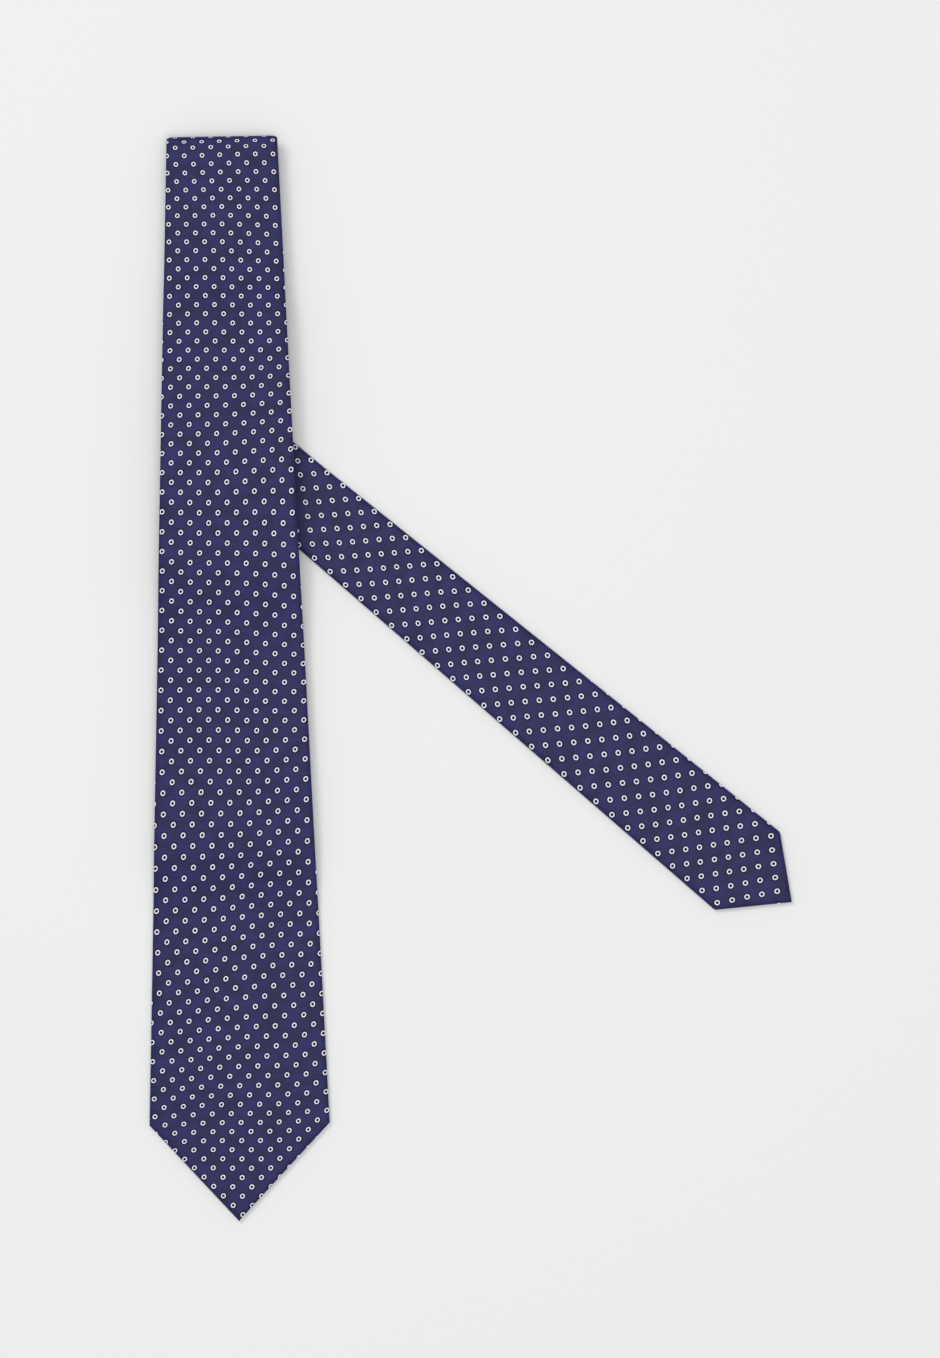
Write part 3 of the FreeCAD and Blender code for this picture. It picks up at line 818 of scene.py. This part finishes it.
def bar_tack(name, run, d):
    """The tack at the end of the seam: long threads, wrapped round closely."""
    thread = Thread(COARSE)
    under = -HALF - 0.16
    for k in range(5):
        e = -0.6 + 0.3 * k
        thread.stitch([
            run.at(v, d + e, under + lift)
            for v, lift in ((-3.9, 0.15), (-3.5, 0.0), (-1.2, 0.0), (1.2, 0.0), (3.5, 0.0),
                            (3.9, 0.15))
        ])
    for k in range(20):
        v = -3.3 + 6.6 * k / 19 + 0.05 * math.sin(2.7 * k)
        thread.stitch([
            run.at(v + lean, d + e, under + lift)
            for e, lift, lean in ((-0.88, 0.16, -0.06), (-0.7, -0.02, -0.05), (-0.3, -0.14, 0.0),
                                  (0.3, -0.14, 0.0), (0.7, -0.02, 0.05), (0.88, 0.16, 0.06))
        ])
    thread.finish(name, run.body)


bar_tack("blade_bar_tack", FRONT, TACK)
bar_tack("tail_bar_tack", TAIL, TAIL_TACK)


LABEL_ROWS = LABEL_COLUMNS = 16
LABEL_FOLD = 5.0  # width of the folded ends of a label


def label(name, run, d, width, height, thick):
    """A woven label with two folded ends, lying against the back of the tie."""
    rows = []
    radius = thick / 2
    for i in range(LABEL_ROWS + 1):
        deep = d - height / 2 + height * i / LABEL_ROWS
        soft = 0.5 + 0.5 * math.cos(2 * math.pi * i / LABEL_ROWS)
        row = []
        for v, n, side, share in slab(width / 2, width / 2, -radius, radius, 4, LABEL_COLUMNS):
            if share and abs(v) <= width / 2 - LABEL_FOLD:
                n *= 0.72
            if share and side > 0:
                n += 0.02 * math.sin(v / 2.3 + i) * (1 - soft)
            row.append((run.at(v, deep, -HALF - radius - 0.01 - n * 0.9), v, deep - d))
        rows.append(row)
    return cloth(name, rows, run.body, silk=None, closed=True)


LABEL_DEPTH, CARE_DEPTH = 364.0, 214.0
LABEL_SIZE, CARE_SIZE = (46.0, 24.0, 0.34), (16.0, 30.0, 0.28)
labels = {
    "blank_label": label("blank_label_woven", FRONT, LABEL_DEPTH, *LABEL_SIZE),
    "care_label": label("care_label_woven", TAIL, CARE_DEPTH, *CARE_SIZE),
}


def line_stitch(name, run, ends, count, under):
    """A line of running stitches from one end to the other, just below a surface."""
    thread = Thread(FINE)
    (v0, d0), (v1, d1) = ends
    for k in range(count):
        path = []
        for t, lift in ((0.08, 0.14), (0.2, 0.0), (0.65, 0.0), (0.77, 0.14)):
            share = (k + t) / count
            path.append(run.at(lerp(v0, v1, share), lerp(d0, d1, share), under + lift))
        thread.stitch(path)
    thread.finish(name, run.body)


label_under = -HALF - LABEL_SIZE[2] - SUNK
for name, side in (("label_stitch_left", -1), ("label_stitch_right", 1)):
    v, top, low = side * 21.8, LABEL_DEPTH - 11.6, LABEL_DEPTH + 11.6
    line_stitch(name, FRONT, ((v, top), (v, low)), 9, label_under)
care_top = CARE_DEPTH - CARE_SIZE[1] / 2 + 1.2
line_stitch("care_label_stitch", TAIL, ((-7.4, care_top), (7.4, care_top)), 6,
            -HALF - CARE_SIZE[2] - SUNK)


# ---- the keeper loop

KEEPER_DEPTH, KEEPER_WIDTH, KEEPER_THICK, KEEPER_HALF = 298.0, 10.0, 1.0, 29.0
KEEPER_TOP = FRONT.middle(KEEPER_DEPTH) - HALF
KEEPER_SLACK = 3.2  # how far its middle hangs below its sewn ends
KEEPER_ROWS, KEEPER_COLUMNS = 58, 8


def keeper():
    """A folded strip of the tie's own silk, sewn down at both ends and slack between."""
    rows = []
    corner, half = KEEPER_THICK / 2, KEEPER_WIDTH / 2
    for i in range(KEEPER_ROWS + 1):
        x = -KEEPER_HALF + KEEPER_HALF * 2 * i / KEEPER_ROWS
        drop = KEEPER_SLACK * smooth((25.2 - abs(x)) / 5.6)
        middle = KEEPER_TOP - 0.05 - corner - drop
        around, last, row = 0.0, None, []
        for w, n, side, share in slab(half, half, -corner, corner, 6, KEEPER_COLUMNS):
            spot = w, n * (1 - 0.05 * math.sin(math.pi * share))
            around += math.dist(last, spot) if last else 0.0
            row.append((place(x, -KEEPER_DEPTH + w, middle + spot[1]), around, x))
            last = spot
        rows.append(row)
    return cloth("keeper_loop_silk", rows, "front_blade", lambda u, s: (u + 1.4, s + 0.8),
                 silk=None, closed=True)


shells["keeper_loop"] = keeper()
keeper_under = KEEPER_TOP - KEEPER_THICK - 0.14
for name, side in (("keeper_stitch_left", -1), ("keeper_stitch_right", 1)):
    thread = Thread(FINE)
    for dx in (-0.45, 0.45):
        for k in range(4):
            y = -KEEPER_DEPTH - 4.6 + 2.35 * k
            thread.stitch([
                place(side * 27.0 + dx, y + t, keeper_under + lift)
                for t, lift in ((0.1, 0.14), (0.4, 0.0), (1.6, 0.0), (1.9, 0.14))
            ])
    thread.finish(name, "front_blade")


# ---- materials

class Graph:
    """A material's nodes, written as sums."""

    def __init__(self, name):
        self.material = bpy.data.materials.new(name)
        self.material.use_nodes = True
        self.nodes = self.material.node_tree.nodes
        self.links = self.material.node_tree.links
        self.shader = self.nodes["Principled BSDF"]

    def feed(self, socket, value):
        if isinstance(value, bpy.types.NodeSocket):
            self.links.new(value, socket)
        else:
            socket.default_value = value

    def add(self, kind, values, out=0, **settings):
        node = self.nodes.new(kind)
        for key, value in settings.items():
            setattr(node, key, value)
        for key, value in values.items():
            self.feed(node.inputs[key], value)
        return node.outputs[out]

    def surface(self, values):
        """Sets inputs of the shader and gives back the finished material."""
        for key, value in values.items():
            self.feed(self.shader.inputs[key], value)
        return self.material

    def map(self, name):
        """A sheet's map, in millimetres."""
        return self.stretch(self.add("ShaderNodeUVMap", {}, uv_map=name), (1000.0,) * 3)

    def stretch(self, vector, scale):
        return self.add("ShaderNodeMapping", {"Vector": vector, "Scale": scale})

    def split(self, vector):
        node = self.nodes.new("ShaderNodeSeparateXYZ")
        self.links.new(vector, node.inputs[0])
        return node.outputs[0], node.outputs[1]

    def math(self, operation, *values):
        return self.add("ShaderNodeMath", dict(enumerate(values)), operation=operation)

    def plus(self, total, *terms):
        for term in terms:
            total = self.math("ADD", total, term)
        return total

    def minus(self, a, b):
        return self.math("SUBTRACT", a, b)

    def times(self, product, *factors):
        for factor in factors:
            product = self.math("MULTIPLY", product, factor)
        return product

    def ripple(self, value, pitch):
        """A sine wave of the given pitch."""
        return self.math("SINE", self.times(value, 2 * math.pi / pitch))

    def rise(self, value, low, high):
        """0 below low, 1 above high, and smooth between; falls where low is above high."""
        start, end = (1.0, 0.0) if low > high else (0.0, 1.0)
        near, far = sorted((low, high))
        return self.add(
            "ShaderNodeMapRange",
            {"Value": value, "From Min": near, "From Max": far, "To Min": start, "To Max": end},
            interpolation_type="SMOOTHSTEP",
        )

    def mix(self, factor, a, b):
        node = self.nodes.new("ShaderNodeMix")
        node.data_type = "RGBA"
        self.feed(node.inputs["Factor"], factor)
        self.feed(node.inputs[6], a)
        self.feed(node.inputs[7], b)
        return node.outputs[2]

    def noise(self, vector, scale=1.0, detail=2.0, rough=0.5):
        return self.add(
            "ShaderNodeTexNoise",
            {"Vector": vector, "Scale": scale, "Detail": detail, "Roughness": rough},
        )

    def bump(self, height, distance, strength, under=None):
        values = {"Height": height, "Distance": distance, "Strength": strength}
        if under is not None:
            values["Normal"] = under
        return self.add("ShaderNodeBump", values)


def srgb(*seen):
    """A colour given as it is seen, from 0 to 255."""
    shares = [c / 255 for c in seen]
    return (*(c / 12.92 if c <= 0.04045 else ((c + 0.055) / 1.055) ** 2.4 for c in shares), 1.0)


NAVY_LIGHT, NAVY_DARK = srgb(47, 44, 102), srgb(36, 36, 73)
RING_COLOUR, HALO_COLOUR = srgb(241, 243, 255), srgb(8, 8, 44)
RIB_PITCH = 0.86  # of the twill's ribs, in millimetres
RING_ACROSS, RING_ALONG = 1.11, 1.16  # half width and half height of a ring
RING_OUTSIDE, RING_INSIDE = (1.0, 0.93), (0.53, 0.61)  # its soft edges, as shares of those
HALO_EDGE, HALO_DEPTH = (1.7, 1.25), 0.9  # the dark outline round a ring and inside it
RING_STRAY, RING_FRAY, RING_SLANT = 0.16, 0.12, 0.12  # how uneven and how slanted it is
SLANT_FROM, SLANT_FULL = 30.0, 130.0  # where the blade's rings start to lean


def ring_print(g, colour, ribs):
    """Lays the ring motif on a colour, one ring to each cell of a grid set cornerwise."""
    grid = g.map("motif")
    u, s = g.split(grid)
    a = g.times(g.plus(u, s), 1 / DIAMOND)
    b = g.times(g.minus(s, u), 1 / DIAMOND)
    cell = g.add("ShaderNodeCombineXYZ", {"X": g.math("FLOOR", a), "Y": g.math("FLOOR", b)})
    stray = g.add("ShaderNodeTexWhiteNoise", {"Vector": cell}, noise_dimensions="2D")
    in_a = g.minus(g.math("FRACT", a), 0.5)
    in_b = g.minus(g.math("FRACT", b), 0.5)
    du = g.times(g.minus(in_a, in_b), DIAMOND / 2)
    ds = g.times(g.plus(in_a, in_b), DIAMOND / 2)
    slant = g.times(g.rise(s, SLANT_FROM, SLANT_FULL), RING_SLANT)
    du = g.plus(du, g.times(g.minus(stray, 0.5), RING_STRAY), g.times(ds, slant))
    across, along = g.times(du, 1 / RING_ACROSS), g.times(ds, 1 / RING_ALONG)
    reach = g.math("SQRT", g.plus(g.times(across, across), g.times(along, along)))
    fibre = g.noise(grid, 1.1, 2.0, 0.6)
    reach = g.plus(reach, g.times(g.minus(fibre, 0.5), RING_FRAY))
    ring = g.times(g.rise(reach, *RING_OUTSIDE), g.rise(reach, *RING_INSIDE))
    colour = g.mix(g.times(g.rise(reach, *HALO_EDGE), HALO_DEPTH), colour, HALO_COLOUR)
    colour = g.mix(ring, colour, RING_COLOUR)
    return g.mix(g.times(ribs, 0.08, ring), colour, NAVY_LIGHT)


def silk_material(name):
    """Dark blue silk twill cut on the bias, so its ribs run straight across the strip."""
    g = Graph(name)
    weave = g.map("cloth")
    along = g.split(weave)[1]
    wobble = g.noise(g.stretch(weave, (0.12, 0.5, 1.0)))
    ribs = g.math("SINE", g.plus(g.times(along, 2 * math.pi / RIB_PITCH), g.times(wobble, 5.0)))
    ribs = g.plus(g.times(ribs, 0.5), 0.5)
    thread = g.noise(g.stretch(weave, (1.3, 4.5, 1.0)), 1.0, 3.0, 0.6)
    cloud = g.noise(g.stretch(weave, (0.10, 0.16, 1.0)), 1.0, 3.0, 0.55)
    tone = g.plus(g.times(g.rise(cloud, 0.34, 0.66), 0.42), g.times(thread, 0.42),
                  g.times(ribs, 0.22))
    colour = g.mix(g.rise(tone, 0.15, 1.0), NAVY_DARK, NAVY_LIGHT)
    return g.surface({
        "Base Color": ring_print(g, colour, ribs),
        "Roughness": g.plus(g.times(thread, 0.22), 0.36),
        "Specular IOR Level": 0.15,
        "Sheen Weight": 0.06,
        "Sheen Roughness": 0.4,
        "Sheen Tint": srgb(150, 150, 205),
        "Normal": g.bump(thread, 0.00005, 0.5, g.bump(ribs, 0.00006, 0.7)),
    })


def satin_material(name, light, dark):
    """Plain satin: fine floats along the strip and a slow change of tone."""
    g = Graph(name)
    weave = g.map("cloth")
    floats = g.noise(g.stretch(weave, (9.0, 0.9, 1.0)), 1.0, 3.0, 0.6)
    cloud = g.noise(weave, 0.12)
    tone = g.plus(g.times(floats, 0.6), g.times(cloud, 0.5))
    return g.surface({
        "Base Color": g.mix(g.rise(tone, 0.3, 0.8), dark, light),
        "Roughness": g.plus(g.times(floats, 0.2), 0.4),
        "Specular IOR Level": 0.45,
        "Sheen Weight": 0.1,
        "Sheen Roughness": 0.35,
        "Normal": g.bump(floats, 0.00005, 0.6),
    })


def wool_material(name, light, dark):
    """Brushed off-white wool and cotton, with a coarse plain weave under its nap."""
    g = Graph(name)
    cloth_map = g.map("cloth")
    across, along = g.split(cloth_map)
    weave = g.times(g.ripple(across, 1.1), g.ripple(along, 1.1))
    nap = g.noise(cloth_map, 2.6, 4.0, 0.65)
    fleck = g.noise(cloth_map, 0.5)
    tone = g.plus(g.times(nap, 0.7), g.times(fleck, 0.35), g.times(weave, 0.07))
    return g.surface({
        "Base Color": g.mix(g.rise(tone, 0.25, 0.8), dark, light),
        "Roughness": 0.95,
        "Sheen Weight": 0.35,
        "Normal": g.bump(nap, 0.0003, 0.5, g.bump(weave, 0.0002, 0.5)),
    })


def thread_material(name, light, dark):
    """Silk sewing thread: two plies twisted round each other."""
    g = Graph(name)
    thread_map = g.map("cloth")
    around, along = g.split(thread_map)
    twist = g.math("SINE", g.plus(g.times(around, 12.0), g.times(along, 14.0)))
    tone = g.plus(g.times(twist, 0.3), g.noise(thread_map, 5.0))
    return g.surface({
        "Base Color": g.mix(g.rise(tone, 0.1, 0.9), dark, light),
        "Roughness": 0.5,
        "Sheen Weight": 0.2,
        "Normal": g.bump(twist, 0.00004, 0.7),
    })


def label_material(name, width, height, light, dark, border):
    """A blank woven label: satin ground and a narrow border line just inside its edge."""
    g = Graph(name)
    weave = g.map("cloth")
    across, along = g.split(weave)
    weft = g.ripple(along, 0.35)
    warp = g.noise(g.stretch(weave, (6.0, 1.2, 1.0)), 1.0, 3.0, 0.6)
    tone = g.plus(warp, g.times(weft, 0.12))
    from_side = g.minus(width / 2, g.math("ABSOLUTE", across))
    from_end = g.minus(height / 2, g.math("ABSOLUTE", along))
    inside = g.math("MINIMUM", from_side, from_end)
    line = g.times(g.rise(inside, 1.55, 1.75), g.rise(inside, 2.35, 2.15))
    broken = g.plus(g.times(weft, 0.2), 0.8)
    ground = g.mix(g.rise(tone, 0.25, 0.75), dark, light)
    return g.surface({
        "Base Color": g.mix(g.times(line, broken), ground, border),
        "Roughness": g.plus(g.times(warp, 0.2), 0.35),
        "Sheen Weight": 0.1,
        "Normal": g.bump(g.plus(weft, g.times(line, 1.5)), 0.00004, 0.6),
    })


silk_print = silk_material("silk_print")
tipping_satin = satin_material("tipping_satin", srgb(54, 51, 104), srgb(40, 38, 80))
wool_felt = wool_material("wool_felt", srgb(232, 228, 216), srgb(196, 188, 172))
sewing_thread = thread_material("sewing_thread", srgb(72, 68, 124), srgb(44, 41, 84))
label_weave = label_material(
    "label_weave", *LABEL_SIZE[:2], srgb(44, 42, 86), srgb(34, 33, 68), srgb(206, 202, 220),
)
# the care label's border runs along its sides only
care_weave = label_material(
    "care_weave", CARE_SIZE[0], CARE_SIZE[1] * 4, srgb(236, 234, 228), srgb(214, 211, 204),
    srgb(196, 194, 196),
)

GROUPS = [
    (shells, "printed_silk", silk_print), (wool, "wool_interlining", wool_felt),
    (linings, "tipping_silk", tipping_satin), (threads, "thread", sewing_thread),
    (labels, "label_satin", label_weave),
]
for group, slot, material in GROUPS:
    for node, piece in group.items():
        piece.data.materials.clear()
        piece.data.materials.append(material)
        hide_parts(node)
labels["care_label"].data.materials[0] = care_weave

FINISHED = {  # cut and sewn double, so given at their finished size
    "keeper_loop": (0.0101, 0.0605), "blank_label": (0.046, 0.024), "care_label": (0.016, 0.030),
}
for group in (shells, linings, labels):
    for node, piece in group.items():
        width, length, area = CUTS[piece.name]
        cut, area = (width, length), min(area, width * length)
        if node in FINISHED:
            cut, area = FINISHED[node], None


# ---- stage, light and camera

def area_light(name, location, size, power):
    """A soft rectangular light that looks at the middle of the tie."""
    data = bpy.data.lights.new(name, "AREA")
    data.shape = "RECTANGLE"
    data.size, data.size_y = size
    data.energy = power
    light = add_object(name, data)
    light.location = location
    light.rotation_euler = (-Vector(location)).to_track_quat("-Z", "Y").to_euler()


FLOOR_REACH, FLOOR_DROP = 30, 0.0004  # in metres
corners = [(x * FLOOR_REACH, y * FLOOR_REACH, 0) for x, y in ((-1, -1), (1, -1), (1, 1), (-1, 1))]
floor_mesh = bpy.data.meshes.new("floor")
floor_mesh.from_pydata(corners, [], [(0, 1, 2, 3)])
floor = add_object("floor", floor_mesh)
floor.location.z = -FLOOR_DROP

floor_paint = bpy.data.materials.new("floor_paint")
floor_paint.use_nodes = True
floor_shader = floor_paint.node_tree.nodes["Principled BSDF"]
floor_shader.inputs["Base Color"].default_value = (0.86, 0.86, 0.86, 1)
floor_shader.inputs["Roughness"].default_value = 0.9
floor.data.materials.append(floor_paint)

world = bpy.data.worlds.new("studio")
bpy.context.scene.world = world
world.use_nodes = True
sky = world.node_tree.nodes["Background"]
sky.inputs["Color"].default_value = (1, 1, 1, 1)
sky.inputs["Strength"].default_value = 0.44
area_light("overhead", (0.2, -0.25, 2.7), (1.6, 1.6), 29)
area_light("key", (-1.3, 1.5, 2.6), (1.2, 1.0), 29)
bpy.context.scene.view_settings.view_transform = "Standard"

# straight down on the tie, turned a degree
camera_data = bpy.data.cameras.new("camera")
camera_data.lens = 149.2
camera_data.sensor_width = 36
camera = add_object("camera", camera_data)
camera.location = (0.00294, -0.00178, 2.5)
camera.rotation_euler = (0, 0, math.radians(-1.0))
bpy.context.scene.camera = camera
